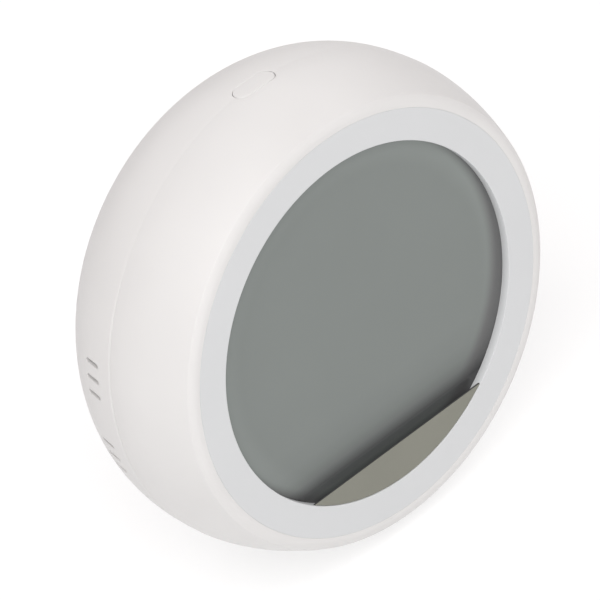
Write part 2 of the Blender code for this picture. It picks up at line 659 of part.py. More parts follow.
def build_screw(name, place, head_y, sizes, flip=False):
    """One screw along Y with a cross recess; flip points its head towards the display."""
    profile = screw_mesh_profile(*sizes)
    head_radius, head_height = sizes[0], sizes[1]
    if flip:
        profile = [(radius, -y) for radius, y in profile]
    location = (place[0], head_y, CENTRE_Z + place[1])
    screw = lathe(name, profile, SCREW_STEEL, location, steps=12)
    top = -head_height if flip else head_height
    depth = head_height * 0.5
    arm, half_slot = head_radius * 0.6, head_radius * 0.12
    for label, half_u, half_v in (("wide", arm, half_slot), ("tall", half_slot, arm)):
        outline = [(-half_u, -half_v), (half_u, -half_v), (half_u, half_v), (-half_u, half_v)]
        recess = prism(f"{name}_recess_{label}", outline, "Y", top - depth, top + depth,
                       location=location)
        cut(screw, recess)


def build_screws():
    shell_sizes = (1.6 * MM, 1.3 * MM, 1.0 * MM, 10.5 * MM)
    for number, place in enumerate(shell_screw_places(), 1):
        build_screw(f"shell_screw_{number}", place, POST_FLOOR_Y + GAP, shell_sizes)
    board_sizes = (1.7 * MM, 1.1 * MM, 0.8 * MM, 4.2 * MM)
    for number, place in enumerate(board_screw_places(), 1):
        build_screw(f"board_screw_{number}", place, PARTS_Y, board_sizes)
    power_sizes = (1.6 * MM, 1.0 * MM, 0.8 * MM, 4.6 * MM)
    for number, place in enumerate(power_screw_places(), 1):
        build_screw(f"power_screw_{number}", place, POWER_BOARD_Y - GAP, power_sizes, flip=True)


def build_monitor():
    clear_scene()
    flat_cutter = foot_flat_cutter()
    hole_cutter = button_hole_cutter()
    build_front_shell(flat_cutter, hole_cutter)
    build_rear_shell(flat_cutter, hole_cutter)
    build_bezel_ring()
    build_ledge_cover()
    build_display_frame()
    build_lcd_panel()
    build_backlight()
    build_zebra_strip()
    build_main_board()
    build_board_parts()
    build_buzzer()
    build_switch()
    build_button()
    build_sensor_parts()
    build_vent_meshes()
    build_battery()
    build_power_board()
    build_power_socket()
    build_link_ribbon()
    build_rubber_foot()
    build_screws()


build_monitor()
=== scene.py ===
"""Looks of the desktop air quality monitor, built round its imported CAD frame.

The housing is a solid of revolution about a horizontal axis along Y and its display faces -Y.
Pieces that show are rebuilt here as fine meshes in the place of their CAD nodes; the parts
inside keep their CAD meshes and get materials. Lengths are in metres.
"""

import math

import bmesh
import bpy
from mathutils import Matrix, Vector


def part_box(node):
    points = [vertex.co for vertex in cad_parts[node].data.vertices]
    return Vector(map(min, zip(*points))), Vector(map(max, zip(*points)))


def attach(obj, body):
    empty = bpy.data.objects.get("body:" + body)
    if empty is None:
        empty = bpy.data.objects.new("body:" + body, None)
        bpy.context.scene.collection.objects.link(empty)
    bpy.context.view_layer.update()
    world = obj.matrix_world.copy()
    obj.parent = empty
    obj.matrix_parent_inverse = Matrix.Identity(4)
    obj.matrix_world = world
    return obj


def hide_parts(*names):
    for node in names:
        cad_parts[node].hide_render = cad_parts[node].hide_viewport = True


MM = 0.001

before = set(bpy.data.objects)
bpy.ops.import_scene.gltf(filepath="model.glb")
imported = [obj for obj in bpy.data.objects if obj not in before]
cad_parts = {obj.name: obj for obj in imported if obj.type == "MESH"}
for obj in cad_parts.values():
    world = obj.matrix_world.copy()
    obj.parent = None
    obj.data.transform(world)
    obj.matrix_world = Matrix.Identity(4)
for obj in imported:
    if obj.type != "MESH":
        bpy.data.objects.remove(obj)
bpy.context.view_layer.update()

# Housing, read from the CAD frame; its side is a superellipse on each side of its widest plane
SHELL_LOW, SHELL_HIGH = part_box("front_shell")
BODY_RADIUS = (SHELL_HIGH.x - SHELL_LOW.x) / 2
CENTRE_Z = SHELL_HIGH.z - BODY_RADIUS
FRONT_Y = SHELL_LOW.y
BACK_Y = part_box("rear_shell")[1].y
FLAT_Z = SHELL_LOW.z
WIDEST_Y = FRONT_Y + 13.6 * MM
SEAM_Y = WIDEST_Y + 2.1 * MM
FRONT_REACH, FRONT_POWER = 43.9 * MM, 1.675
REAR_REACH, REAR_POWER = 28.2 * MM, 2.473
WALL, GAP = 2.0 * MM, 0.3 * MM
TONGUE_THICKNESS, TONGUE_REACH = 1.2 * MM, 2.3 * MM
TONGUE_ROOT_START, TONGUE_ROOT_END = 1.3 * MM, 2.1 * MM
BACK_EDGE = 0.8 * MM
LATHE_STEPS, SHARP_DEG = 288, 35
MERGE_DISTANCE, CAP_MERGE_DISTANCE = 0.0005 * MM, 0.001 * MM

# Seam: edge radius of each shell, then how high up the side it is tight (share of the radius),
# how quickly it opens below that, and the share of the edge that stays where it is tight
FRONT_SEAM_EDGE, REAR_SEAM_EDGE = 0.06 * MM, 0.5 * MM
SEAM_CLOSED, SEAM_FADE, SEAM_LEAST = 0.66, 0.2, 0.02

# Front lip: a crown from the groove outwards, then a rounded corner
GROOVE_RADIUS, GROOVE_EDGE = 37.36 * MM, 0.07 * MM
LIP_CROWN_START, LIP_CROWN_END, LIP_CROWN_STEPS = 37.9 * MM, 39.2 * MM, 8
LIP_CROWN_RADIUS = 2.2 * MM
LIP_CORNER_RADIUS, LIP_CORNER_DROP, LIP_CORNER_FILLET = 39.56 * MM, 0.6 * MM, 0.5 * MM
SIDE_START = 0.9 * MM
SEAT_DEPTH, SEAT_THICKNESS, SEAT_RADIUS = 2.8 * MM, 1.5 * MM, 36.1 * MM

# Ring, display and the cover below the display's straight edge
RING_INNER_RADIUS, RING_INNER_EDGE = 31.7 * MM, 0.12 * MM
# The inner wall's tone is the ring's plastic painted lighter, as painted light; the share after it
# darkens the wall towards the glass, as painted shade
RING_TONE, WALL_PAINTED_LIGHT_TONE, WALL_PAINTED_SHADE_SHARE = (0.620, 0.633, 0.640), (0.707, 0.722, 0.730), 0.74
LCD_LOW, LCD_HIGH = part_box("lcd_panel")
LCD_RADIUS, LCD_EDGE = (LCD_HIGH.x - LCD_LOW.x) / 2, 0.1 * MM
REAR_PLATE_INSET, REAR_PLATE_DROP = 0.2 * MM, 26.8 * MM
COVER_LOW, COVER_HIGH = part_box("ledge_cover")
COVER_GAP, COVER_EDGE = 0.06 * MM, 0.07 * MM
CHORD_Z = COVER_HIGH.z
CHORD_DROP = CENTRE_Z - CHORD_Z

# Shade on the display's reflector: outside a circle a little off centre it is in the ring's shade,
# and CHORD_SHADE gives (share of the reach above the straight edge, lightness) where the cover
# shades it; EDGE_LIFT makes up for what the rim of the panel loses of the light
DISPLAY_TONE = (0.201, 0.221, 0.211)
RIM_SHADE_TONE, CHORD_SHADE_TONE = (0.137, 0.139, 0.139), (0.036, 0.037, 0.038)
RIM_SHADE_X, RIM_SHADE_Z = -1.9 * MM, CENTRE_Z + 2.7 * MM
RIM_SHADE_START, RIM_SHADE_END = 30.3 * MM, 32.9 * MM
CHORD_SHADE_REACH = 12.0 * MM
CHORD_SHADE = ((0.0, 0.45), (0.02, 0.355), (0.04, 0.3), (0.07, 0.255), (0.1, 0.19), (0.135, 0.06),
               (0.17, 0.19), (0.22, 0.335), (0.31, 0.6), (0.47, 0.82), (0.65, 0.93), (1.0, 1.0))
EDGE_LIFT, EDGE_LIFT_START = 1.2, 26.5 * MM

# Push button: its slit is wider at its ends, and the cap stands proud at its front edge only
BUTTON_STEM_END_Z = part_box("button_cap")[0].z
BUTTON_HALF_X, BUTTON_HALF_Y = 4.15 * MM, 1.92 * MM
BUTTON_SLIT, BUTTON_END_SLIT, BUTTON_HOLE_EDGE = 0.03 * MM, 0.12 * MM, 0.04 * MM
BUTTON_HOLE_DEPTH = 3.5 * MM
BUTTON_RISE, BUTTON_EDGE = 0.14 * MM, 0.4 * MM
FLANGE_TOP_Z, FLANGE_MARGIN, FLANGE_THICKNESS = CENTRE_Z + 39.9 * MM, 1.2 * MM, 1.0 * MM
STEM_RADIUS = 1.2 * MM
FLANGE_ROOM_X, FLANGE_ROOM_Y = (-7 * MM, 7 * MM), (SEAM_Y - 4 * MM, SEAM_Y + 3.8 * MM)
FLANGE_ROOM_Z = (CENTRE_Z + 37 * MM, CENTRE_Z + 40.8 * MM)

# Air vents
VENT_HALF_LENGTH, VENT_HALF_WIDTH = 1.85 * MM, 0.41 * MM
VENT_Y = WIDEST_Y + 7.45 * MM
VENT_GROUP_DEG, VENT_PITCH_DEG, VENT_DROP_DEG = 10.8, 4.0, 0.7
VENT_EDGE, VENT_DEPTH = 0.1 * MM, 4.0 * MM

# Back: screw wells and power socket
SCREW_CIRCLE = 23.0 * MM
SCREW_DEG = (90, 210, 330)
POST_RADIUS, WELL_RADIUS, SHANK_HOLE_RADIUS = 3.2 * MM, 1.9 * MM, 1.3 * MM
POST_END_Y, POST_FLOOR_Y, WELL_EDGE = -2.4 * MM, 2.5 * MM, 0.25 * MM
HEAD_RADIUS, HEAD_HEIGHT, HEAD_LIFT = 1.6 * MM, 1.3 * MM, 0.3 * MM
SHANK_RADIUS, SHANK_LENGTH = 1.0 * MM, 10.5 * MM
THREAD_HALF_PITCH, THREAD_DEPTH = 0.28 * MM, 0.12 * MM
SOCKET_LOW, SOCKET_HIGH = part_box("usb_socket")
SOCKET_Z = (SOCKET_LOW.z + SOCKET_HIGH.z) / 2
SOCKET_HOLE_EDGE, SOCKET_WALL = 0.3 * MM, 0.3 * MM
CONTACT_LOW, CONTACT_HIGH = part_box("usb_tongue")
CONTACT_COUNT, CONTACT_PITCH, CONTACT_HALF_WIDTH = 12, 0.5 * MM, 0.13 * MM
CONTACT_THICKNESS = 0.02 * MM
FOOT_CORNER, FOOT_EDGE = 3.5 * MM, 0.25 * MM

# Studio, and the azimuth and elevation in degrees and the watts of each softbox
FLOOR_TONE, FLOOR_GLOW = (0.45, 0.45, 0.45), 0.575
FLOOR_HALF_SIZE, FLOOR_CORNER = 1.5, 0.4
WORLD_TONE, WORLD_STRENGTH, BACKDROP_STRENGTH = (1.0, 0.9, 0.9, 1.0), 0.28, 0.92
WHITE = (1.0, 1.0, 1.0, 1.0)
SOFTBOX_SIZE, SOFTBOX_DISTANCE = 0.9, 0.9
SOFTBOXES = (
    ("key_front_left", -45, 50, 8.4),
    ("fill_right", 50, 30, 1.38),
    ("rim_back_right", 120, 30, 1.98),
    ("rim_back", 180, 35, 1.5),
)

# Camera: direction and roll in degrees, distance, shift of the aim in the picture, and lens
CAMERA_AZIMUTH, CAMERA_ELEVATION, CAMERA_ROLL = -35.39, 34.60, -13.83
CAMERA_DISTANCE = 30 * BODY_RADIUS
AIM_LEFT, AIM_DOWN = 2.31 * MM, 0.23 * MM
LENS_MM, SENSOR_MM = 467.0, 36.0


# ---------------------------------------------------------------- mesh helpers

def add_mesh(name, shape, sharp_deg=SHARP_DEG):
    """Turn a bmesh into a smooth-shaded object in the row frame."""
    bmesh.ops.recalc_face_normals(shape, faces=shape.faces)
    mesh = bpy.data.meshes.new(name)
    shape.to_mesh(mesh)
    shape.free()
    item = bpy.data.objects.new(name, mesh)
    bpy.context.scene.collection.objects.link(item)
    shade(item, sharp_deg)
    return item


def shade(item, sharp_deg=SHARP_DEG):
    """Smooth shading, except on faces square to the axis, which stay flat round their holes."""
    item.data.shade_smooth()
    item.data.set_sharp_from_angle(angle=math.radians(sharp_deg))
    square = 0.99999
    for face in item.data.polygons:
        if abs(face.normal.y) > square:
            face.use_smooth = False


def add_loft(shape, rings, material_index=0):
    """Closed skin through rings of equally many points, with both ends capped."""
    rows = [[shape.verts.new(point) for point in ring] for ring in rings]
    made = [shape.faces.new(rows[0]), shape.faces.new(rows[-1])]
    for row, following in zip(rows, rows[1:]):
        for index, vert in enumerate(row):
            near = (index + 1) % len(row)
            made.append(shape.faces.new((vert, row[near], following[near], following[index])))
    for face in made:
        face.material_index = material_index
    return [vert for row in rows for vert in row]


def lathe(name, profile, centre_x=0.0, centre_z=CENTRE_Z, steps=LATHE_STEPS):
    """Spin (radius, y) points about an axis along Y: a closed ring, or a solid on the axis."""
    shape = bmesh.new()
    points = [shape.verts.new((centre_x + radius, y, centre_z)) for radius, y in profile]
    for start, end in zip(points, points[1:]):
        shape.edges.new((start, end))
    if profile[0][0] > 0.0:
        shape.edges.new((points[-1], points[0]))
    bmesh.ops.spin(shape, geom=shape.verts[:] + shape.edges[:], cent=(centre_x, 0, centre_z),
                   axis=(0, 1, 0), angle=math.tau, steps=steps, use_merge=True)
    bmesh.ops.remove_doubles(shape, verts=shape.verts, dist=MERGE_DISTANCE)
    return add_mesh(name, shape)


def carve(target, tool, operation="DIFFERENCE"):
    """Apply an exact Boolean at once and remove the tool."""
    modifier = target.modifiers.new("carve", "BOOLEAN")
    modifier.operation = operation
    modifier.solver = "EXACT"
    modifier.object = tool
    graph = bpy.context.evaluated_depsgraph_get()
    carved = bpy.data.meshes.new_from_object(target.evaluated_get(graph))
    target.modifiers.clear()
    target.data = carved
    bpy.data.objects.remove(tool, do_unlink=True)
    shade(target)


def arc(centre_u, centre_v, radius, start_deg, end_deg, steps):
    """Points along an arc, both ends included."""
    points = []
    for step in range(steps + 1):
        angle = math.radians(start_deg + (end_deg - start_deg) * step / steps)
        points.append((centre_u + radius * math.cos(angle), centre_v + radius * math.sin(angle)))
    return points


def pill(half_u, half_v, centre=(0.0, 0.0), steps=12):
    """Oblong outline with round ends on its longer axis."""
    if half_u >= half_v:
        straight = half_u - half_v
        return (arc(centre[0] + straight, centre[1], half_v, -90, 90, steps)
                + arc(centre[0] - straight, centre[1], half_v, 90, 270, steps))
    straight = half_v - half_u
    return (arc(centre[0], centre[1] + straight, half_u, 0, 180, steps)
            + arc(centre[0], centre[1] - straight, half_u, 180, 360, steps))


def rounded_rectangle(low, high, corner, steps=5):
    """Outline between two opposite corners, with arcs for its corners."""
    (low_u, low_v), (high_u, high_v) = low, high
    points = []
    for centre_u, centre_v, start in (
            (high_u - corner, high_v - corner, 0), (low_u + corner, high_v - corner, 90),
            (low_u + corner, low_v + corner, 180), (high_u - corner, low_v + corner, 270)):
        points += arc(centre_u, centre_v, corner, start, start + 90, steps)
    return points


def inset_outline(outline, distance):
    """Move a convex counter-clockwise outline inwards by a distance."""
    moved = []
    for index, (u, v) in enumerate(outline):
        before, after = outline[index - 1], outline[(index + 1) % len(outline)]
        along = Vector((after[0] - before[0], after[1] - before[1])).normalized()
        moved.append((u - along.y * distance, v + along.x * distance))
    return moved


def rounded_profile(corners, steps=4):
    """Profile through (radius, y, fillet) corners; a corner with a fillet becomes an arc."""
    points = []
    for index, (u, v, fillet) in enumerate(corners):
        corner = Vector((u, v))
        if not fillet:
            points.append((u, v))
            continue
        back = (Vector(corners[index - 1][:2]) - corner).normalized()
        ahead = (Vector(corners[(index + 1) % len(corners)][:2]) - corner).normalized()
        half_angle = back.angle(ahead) / 2
        centre = corner + (back + ahead).normalized() * (fillet / math.sin(half_angle))
        reach = fillet / math.tan(half_angle)
        start, end = corner + back * reach - centre, corner + ahead * reach - centre
        turn = start.angle_signed(end)
        for step in range(steps + 1):
            spoke = start.copy()
            spoke.rotate(Matrix.Rotation(-turn * step / steps, 2))
            points.append(tuple(centre + spoke))
    return points


def body_radius(y, inset=0.0):
    """Radius of the housing at y; an inset gives the inner face of its wall."""
    reach, power = FRONT_REACH, FRONT_POWER
    if y > WIDEST_Y:
        reach, power = REAR_REACH, REAR_POWER
    share = abs(y - WIDEST_Y) / (reach - inset)
    return (BODY_RADIUS - inset) * (1.0 - share ** power) ** (1.0 / power)


def body_curve(start_y, end_y, steps, inset=0.0):
    """Corners without fillet along the side of the housing, both ends included."""
    levels = [start_y + (end_y - start_y) * step / steps for step in range(steps + 1)]
    return [(body_radius(y, inset), y, 0.0) for y in levels]


def below_top(outline, depth):
    """Lay an (x, y) outline on the top of the housing, at a depth under its surface."""
    return [(x, y, CENTRE_Z + math.sqrt(body_radius(y) ** 2 - x ** 2) - depth)
            for x, y in outline]


def rim_levels(rim, steps=4):
    """(growth, depth) pairs of a rounded rim, from just outside the surface inwards."""
    first_deg = 25.0
    levels = quarter_turn(rim, [first_deg + (90 - first_deg) * step / steps
                                for step in range(steps + 1)])
    (growth, depth), (next_growth, next_depth) = levels[:2]
    slope = (growth - next_growth) / (next_depth - depth)
    outside = 0.25 * MM
    return [(growth + slope * outside, depth - outside)] + levels


def add_opening(shape, half_x, half_y, centre_y, rim, floor_depth, turn_deg=0.0):
    """Cutter for an oblong opening with a rounded rim, turned from the top about the axis."""
    rings = [below_top(pill(half_x + growth, half_y + growth, (0.0, centre_y)), depth)
             for growth, depth in rim_levels(rim) + [(0.0, floor_depth)]]
    verts = add_loft(shape, rings)
    turn = Matrix.Rotation(math.radians(turn_deg), 3, "Y")
    bmesh.ops.rotate(shape, cent=(0, 0, CENTRE_Z), matrix=turn, verts=verts)


def add_back_hole(shape, outline, levels):
    """Cutter along Y from (growth, y) levels round an (x, z) outline."""
    add_loft(shape, [upright(inset_outline(outline, -growth), y) for growth, y in levels])


def back_rim(rim):
    """(growth, y) levels of a rounded rim in the flat back."""
    return [(growth, BACK_Y - depth) for growth, depth in rim_levels(rim)]


def on_circle(radius, degrees):
    """Point (x, z) round the housing's axis."""
    angle = math.radians(degrees)
    return radius * math.cos(angle), CENTRE_Z + radius * math.sin(angle)


def circle(centre_x, centre_z, radius, steps=36):
    """(x, z) outline of a circle."""
    return arc(centre_x, centre_z, radius, 0, 360, steps)[:-1]


def laid(outline, z):
    """(x, y) outline at a height."""
    return [(x, y, z) for x, y in outline]


def upright(outline, y):
    """(x, z) outline at a depth along the axis."""
    return [(x, y, z) for x, z in outline]


def quarter_turn(radius, degrees):
    """(inset, depth) pairs along a rounded edge, from its top (0 degrees) to its side (90)."""
    return [(radius * (1 - math.sin(math.radians(deg))), radius * (1 - math.cos(math.radians(deg))))
            for deg in degrees]


# ---------------------------------------------------------------- material helpers

def start_material(name, colour, roughness, metallic=0.0):
    """New material, its node tree and its shader, in one even tone to begin with."""
    material = bpy.data.materials.new(name)
    material.use_nodes = True
    material.diffuse_color = (*colour, 1.0)
    shader = material.node_tree.nodes["Principled BSDF"]
    shader.inputs["Base Color"].default_value = (*colour, 1.0)
    shader.inputs["Roughness"].default_value = roughness
    shader.inputs["Metallic"].default_value = metallic
    return material, material.node_tree, shader


def node(tree, kind, inputs=None, **settings):
    """Add a node; an input given as a socket is linked, any other value is set."""
    made = tree.nodes.new(kind)
    for name, value in settings.items():
        setattr(made, name, value)
    for name, value in (inputs or {}).items():
        if isinstance(value, bpy.types.NodeSocket):
            tree.links.new(value, made.inputs[name])
        else:
            made.inputs[name].default_value = value
    return made


def place(tree):
    """Place on the object, in metres in the row frame."""
    return node(tree, "ShaderNodeTexCoord").outputs["Object"]


def noise(tree, scale, detail=2.0, roughness=0.5):
    """Noise with about this many features in a metre."""
    return node(tree, "ShaderNodeTexNoise",
                {"Vector": place(tree), "Scale": scale, "Detail": detail,
                 "Roughness": roughness}).outputs["Fac"]


def spread(tree, value, low, high, start=0.3, end=0.7):
    """Stretch a value from start..end, where noise mostly lies, to low..high."""
    return node(tree, "ShaderNodeMapRange", {"Value": value, "From Min": start, "From Max": end,
                                             "To Min": low, "To Max": high}).outputs["Result"]


def blend(tree, factor, first, second):
    """Mix of two colours, each a socket or a colour."""
    made = node(tree, "ShaderNodeMix", data_type="RGBA")
    sockets = (made.inputs[0], made.inputs[6], made.inputs[7])
    for socket, value in zip(sockets, (factor, first, second)):
        if isinstance(value, bpy.types.NodeSocket):
            tree.links.new(value, socket)
        elif isinstance(value, tuple):
            socket.default_value = (*value, 1.0)
        else:
            socket.default_value = value
    return made.outputs[2]


def tinted(colour, factor):
    """Colour made lighter or darker."""
    return tuple(min(1.0, channel * factor) for channel in colour)


def add_bump(tree, shader, height, distance, strength=1.0):
    """Relief from a height of 0 to 1, where 1 stands this far out."""
    bump = node(tree, "ShaderNodeBump", {"Height": height, "Distance": distance,
                                         "Strength": strength})
    tree.links.new(bump.outputs["Normal"], shader.inputs["Normal"])


def radius_from(tree, centre_x, centre_z):
    """Distance from an axis along Y."""
    offset = node(tree, "ShaderNodeVectorMath", {0: place(tree), 1: (centre_x, 0.0, centre_z)},
                  operation="SUBTRACT")
    across = node(tree, "ShaderNodeVectorMath", {0: offset.outputs[0], 1: (1.0, 0.0, 1.0)},
                  operation="MULTIPLY")
    return node(tree, "ShaderNodeVectorMath", {0: across.outputs[0]},
                operation="LENGTH").outputs["Value"]


def moulded_plastic(name, colour, roughness, grain=6000.0, relief=0.004 * MM, mottle=0.015):
    """Injection-moulded plastic: spark-eroded grain, slow drift of tone and of gloss."""
    material, tree, shader = start_material(name, colour, roughness)
    drift = spread(tree, noise(tree, 60.0), 0.0, 1.0)
    tone = blend(tree, drift, tinted(colour, 1 - mottle), tinted(colour, 1 + mottle))
    tree.links.new(tone, shader.inputs["Base Color"])
    gloss = spread(tree, noise(tree, 900.0, 3.0), roughness - 0.04, roughness + 0.04)
    tree.links.new(gloss, shader.inputs["Roughness"])
    add_bump(tree, shader, noise(tree, grain, 2.0), relief)
    return material


def ring_wall_painted_light(name):
    """The ring's inner wall: its plastic painted lighter as painted light, and painted shade
    towards the glass, where less light reaches.
    """
    material = moulded_plastic(name, WALL_PAINTED_LIGHT_TONE, 0.4, 8000.0, 0.002 * MM, 0.008)
    tree = material.node_tree
    base = tree.nodes["Principled BSDF"].inputs["Base Color"]
    spot = node(tree, "ShaderNodeSeparateXYZ", {"Vector": place(tree)})
    depth = spread(tree, spot.outputs["Y"], 0.0, 1.0, FRONT_Y, LCD_LOW.y)
    # painted shade: the wall is darkened towards the glass
    painted_shade_tone = tinted(WALL_PAINTED_LIGHT_TONE, WALL_PAINTED_SHADE_SHARE)
    tree.links.new(blend(tree, depth, base.links[0].from_socket, painted_shade_tone), base)
    return material


def display_glass(name):
    """Unpowered polarised display: grey-green, darker where the ring and cover shade it."""
    material, tree, shader = start_material(name, DISPLAY_TONE, 0.12)
    shader.inputs["Specular IOR Level"].default_value = 0.25
    # the reflector lies deep behind the glass, so the ring's shade shows from one side
    rim_shade = node(tree, "ShaderNodeMapRange",
                     {"Value": radius_from(tree, RIM_SHADE_X, RIM_SHADE_Z),
                      "From Min": RIM_SHADE_START, "From Max": RIM_SHADE_END},
                     interpolation_type="SMOOTHSTEP")
    lift = node(tree, "ShaderNodeMapRange",
                {"Value": radius_from(tree, 0.0, CENTRE_Z), "From Min": EDGE_LIFT_START,
                 "From Max": RING_INNER_RADIUS}, interpolation_type="SMOOTHSTEP")
    spot = node(tree, "ShaderNodeSeparateXYZ", {"Vector": place(tree)})
    height = node(tree, "ShaderNodeMapRange",
                  {"Value": spot.outputs["Z"], "From Min": CHORD_Z,
                   "From Max": CHORD_Z + CHORD_SHADE_REACH})
    chord_shade = node(tree, "ShaderNodeValToRGB", {"Fac": height.outputs["Result"]})
    stops = chord_shade.color_ramp.elements
    for index, (share, lightness) in enumerate(CHORD_SHADE):
        stop = stops[index] if index < 2 else stops.new(share)
        stop.position, stop.color = share, (lightness, lightness, lightness, 1.0)
    drift = spread(tree, noise(tree, 45.0), 0.0, 1.0)
    tone = blend(tree, drift, tinted(DISPLAY_TONE, 0.985), tinted(DISPLAY_TONE, 1.015))
    tone = blend(tree, lift.outputs["Result"], tone, tinted(DISPLAY_TONE, EDGE_LIFT))
    tone = blend(tree, rim_shade.outputs["Result"], tone, RIM_SHADE_TONE)
    tone = blend(tree, chord_shade.outputs["Color"], CHORD_SHADE_TONE, tone)
    tree.links.new(tone, shader.inputs["Base Color"])
    tree.links.new(spread(tree, noise(tree, 1500.0), 0.1, 0.14), shader.inputs["Roughness"])
    add_bump(tree, shader, noise(tree, 120.0), 0.002 * MM)
    return material


def plated_metal(name, colour, roughness, streak_axis=(1.0, 1.0, 14.0)):
    """Rolled and plated sheet: fine drawn streaks and faint stains."""
    material, tree, shader = start_material(name, colour, roughness, 1.0)
    stretched = node(tree, "ShaderNodeMapping", {"Vector": place(tree), "Scale": streak_axis})
    streaks = node(tree, "ShaderNodeTexNoise", {"Vector": stretched.outputs["Vector"],
                                                "Scale": 1600.0, "Detail": 3.0}).outputs["Fac"]
    tone = blend(tree, spread(tree, noise(tree, 300.0), 0.0, 1.0),
                 tinted(colour, 0.9), tinted(colour, 1.05))
    tree.links.new(tone, shader.inputs["Base Color"])
    tree.links.new(spread(tree, streaks, roughness - 0.08, roughness + 0.1),
                   shader.inputs["Roughness"])
    add_bump(tree, shader, streaks, 0.003 * MM)
    return material


def circuit_board(name):
    """Green solder mask over copper tracks and fills."""
    mask, copper_mask = (0.012, 0.095, 0.04), (0.03, 0.19, 0.075)
    material, tree, shader = start_material(name, mask, 0.35)
    cells = node(tree, "ShaderNodeTexVoronoi", {"Vector": place(tree), "Scale": 420.0},
                 feature="F1", distance="MANHATTAN")
    tracks = node(tree, "ShaderNodeTexWave", {"Vector": place(tree), "Scale": 260.0,
                                              "Distortion": 3.0, "Detail": 0.0},
                  wave_type="BANDS", bands_direction="DIAGONAL")
    shown = spread(tree, tracks.outputs["Fac"], 0.0, 1.0, 0.55, 0.62)
    fill = spread(tree, cells.outputs["Distance"], 0.0, 1.0, 0.45, 0.5)
    pattern = node(tree, "ShaderNodeMath", {0: shown, 1: fill}, operation="MAXIMUM").outputs[0]
    tree.links.new(blend(tree, pattern, mask, copper_mask), shader.inputs["Base Color"])
    tree.links.new(spread(tree, noise(tree, 700.0), 0.3, 0.42), shader.inputs["Roughness"])
    add_bump(tree, shader, pattern, 0.02 * MM)
    return material


def woven_mesh(name):
    """Fine dust mesh: dark threads over and under, with the holes painted darker as painted shade.
    """
    thread, hole_shade = (0.035, 0.035, 0.036), (0.004, 0.004, 0.004)
    material, tree, shader = start_material(name, thread, 0.7)
    waves = []
    for direction in ("Y", "Z"):
        waves.append(node(tree, "ShaderNodeTexWave", {"Vector": place(tree), "Scale": 900.0},
                          wave_type="BANDS", bands_direction=direction).outputs["Fac"])
    weave = node(tree, "ShaderNodeMath", {0: waves[0], 1: waves[1]}, operation="MAXIMUM").outputs[0]
    covered = spread(tree, weave, 0.0, 1.0, 0.45, 0.75)
    # the near-black in the holes is painted shade
    tree.links.new(blend(tree, covered, hole_shade, thread), shader.inputs["Base Color"])
    tree.links.new(spread(tree, noise(tree, 4000.0), 0.6, 0.8), shader.inputs["Roughness"])
    add_bump(tree, shader, weave, 0.08 * MM)
    return material


def striped_film(name, colour, dark, stripes, axis, roughness=0.4):
    """Flat cable or foil with fine lines along it."""
    material, tree, shader = start_material(name, colour, roughness)
    wave = node(tree, "ShaderNodeTexWave", {"Vector": place(tree), "Scale": stripes},
                wave_type="BANDS", bands_direction=axis).outputs["Fac"]
    line = spread(tree, wave, 0.0, 1.0, 0.7, 0.9)
    tree.links.new(blend(tree, line, colour, dark), shader.inputs["Base Color"])
    tree.links.new(spread(tree, noise(tree, 900.0), roughness - 0.08, roughness + 0.08),
                   shader.inputs["Roughness"])
    add_bump(tree, shader, line, 0.02 * MM)
    return material


def pouch_foil(name):
    """Battery pouch: satin aluminium laminate with shallow folds, painted darker along its crease
    lines as painted shade.
    """
    colour = (0.62, 0.63, 0.65)
    material, tree, shader = start_material(name, colour, 0.32, 0.85)
    crease_shade = node(tree, "ShaderNodeTexVoronoi", {"Vector": place(tree), "Scale": 180.0},
                   feature="DISTANCE_TO_EDGE").outputs["Distance"]
    # darker along the crease lines: painted shade
    tone = blend(tree, spread(tree, crease_shade, 0.0, 1.0, 0.0, 0.15), tinted(colour, 0.9), colour)
    tree.links.new(tone, shader.inputs["Base Color"])
    tree.links.new(spread(tree, noise(tree, 500.0, 4.0), 0.25, 0.42), shader.inputs["Roughness"])
    add_bump(tree, shader, noise(tree, 250.0, 4.0), 0.08 * MM)
    return material


def clear_acrylic(name):
    """Light guide: polished acrylic with a grid of printed dots."""
    colour = (0.84, 0.87, 0.86)
    material, tree, shader = start_material(name, colour, 0.08)
    shader.inputs["Coat Weight"].default_value = 0.5
    dots = node(tree, "ShaderNodeTexVoronoi", {"Vector": place(tree), "Scale": 900.0,
                                               "Randomness": 0.0}).outputs["Distance"]
    dot = spread(tree, dots, 0.0, 1.0, 0.22, 0.3)
    tree.links.new(blend(tree, dot, (0.95, 0.96, 0.95), colour), shader.inputs["Base Color"])
    tree.links.new(spread(tree, noise(tree, 700.0), 0.06, 0.14), shader.inputs["Roughness"])
    add_bump(tree, shader, dot, 0.01 * MM)
    return material


def soft_rubber(name, colour):
    """Matte elastomer: fine pebble and dusty tone."""
    material, tree, shader = start_material(name, colour, 0.75)
    shader.inputs["Sheen Weight"].default_value = 0.15
    tone = blend(tree, spread(tree, noise(tree, 350.0, 4.0), 0.0, 1.0),
                 tinted(colour, 0.92), tinted(colour, 1.06))
    tree.links.new(tone, shader.inputs["Base Color"])
    tree.links.new(spread(tree, noise(tree, 1200.0), 0.68, 0.84), shader.inputs["Roughness"])
    add_bump(tree, shader, noise(tree, 3500.0, 3.0), 0.01 * MM)
    return material


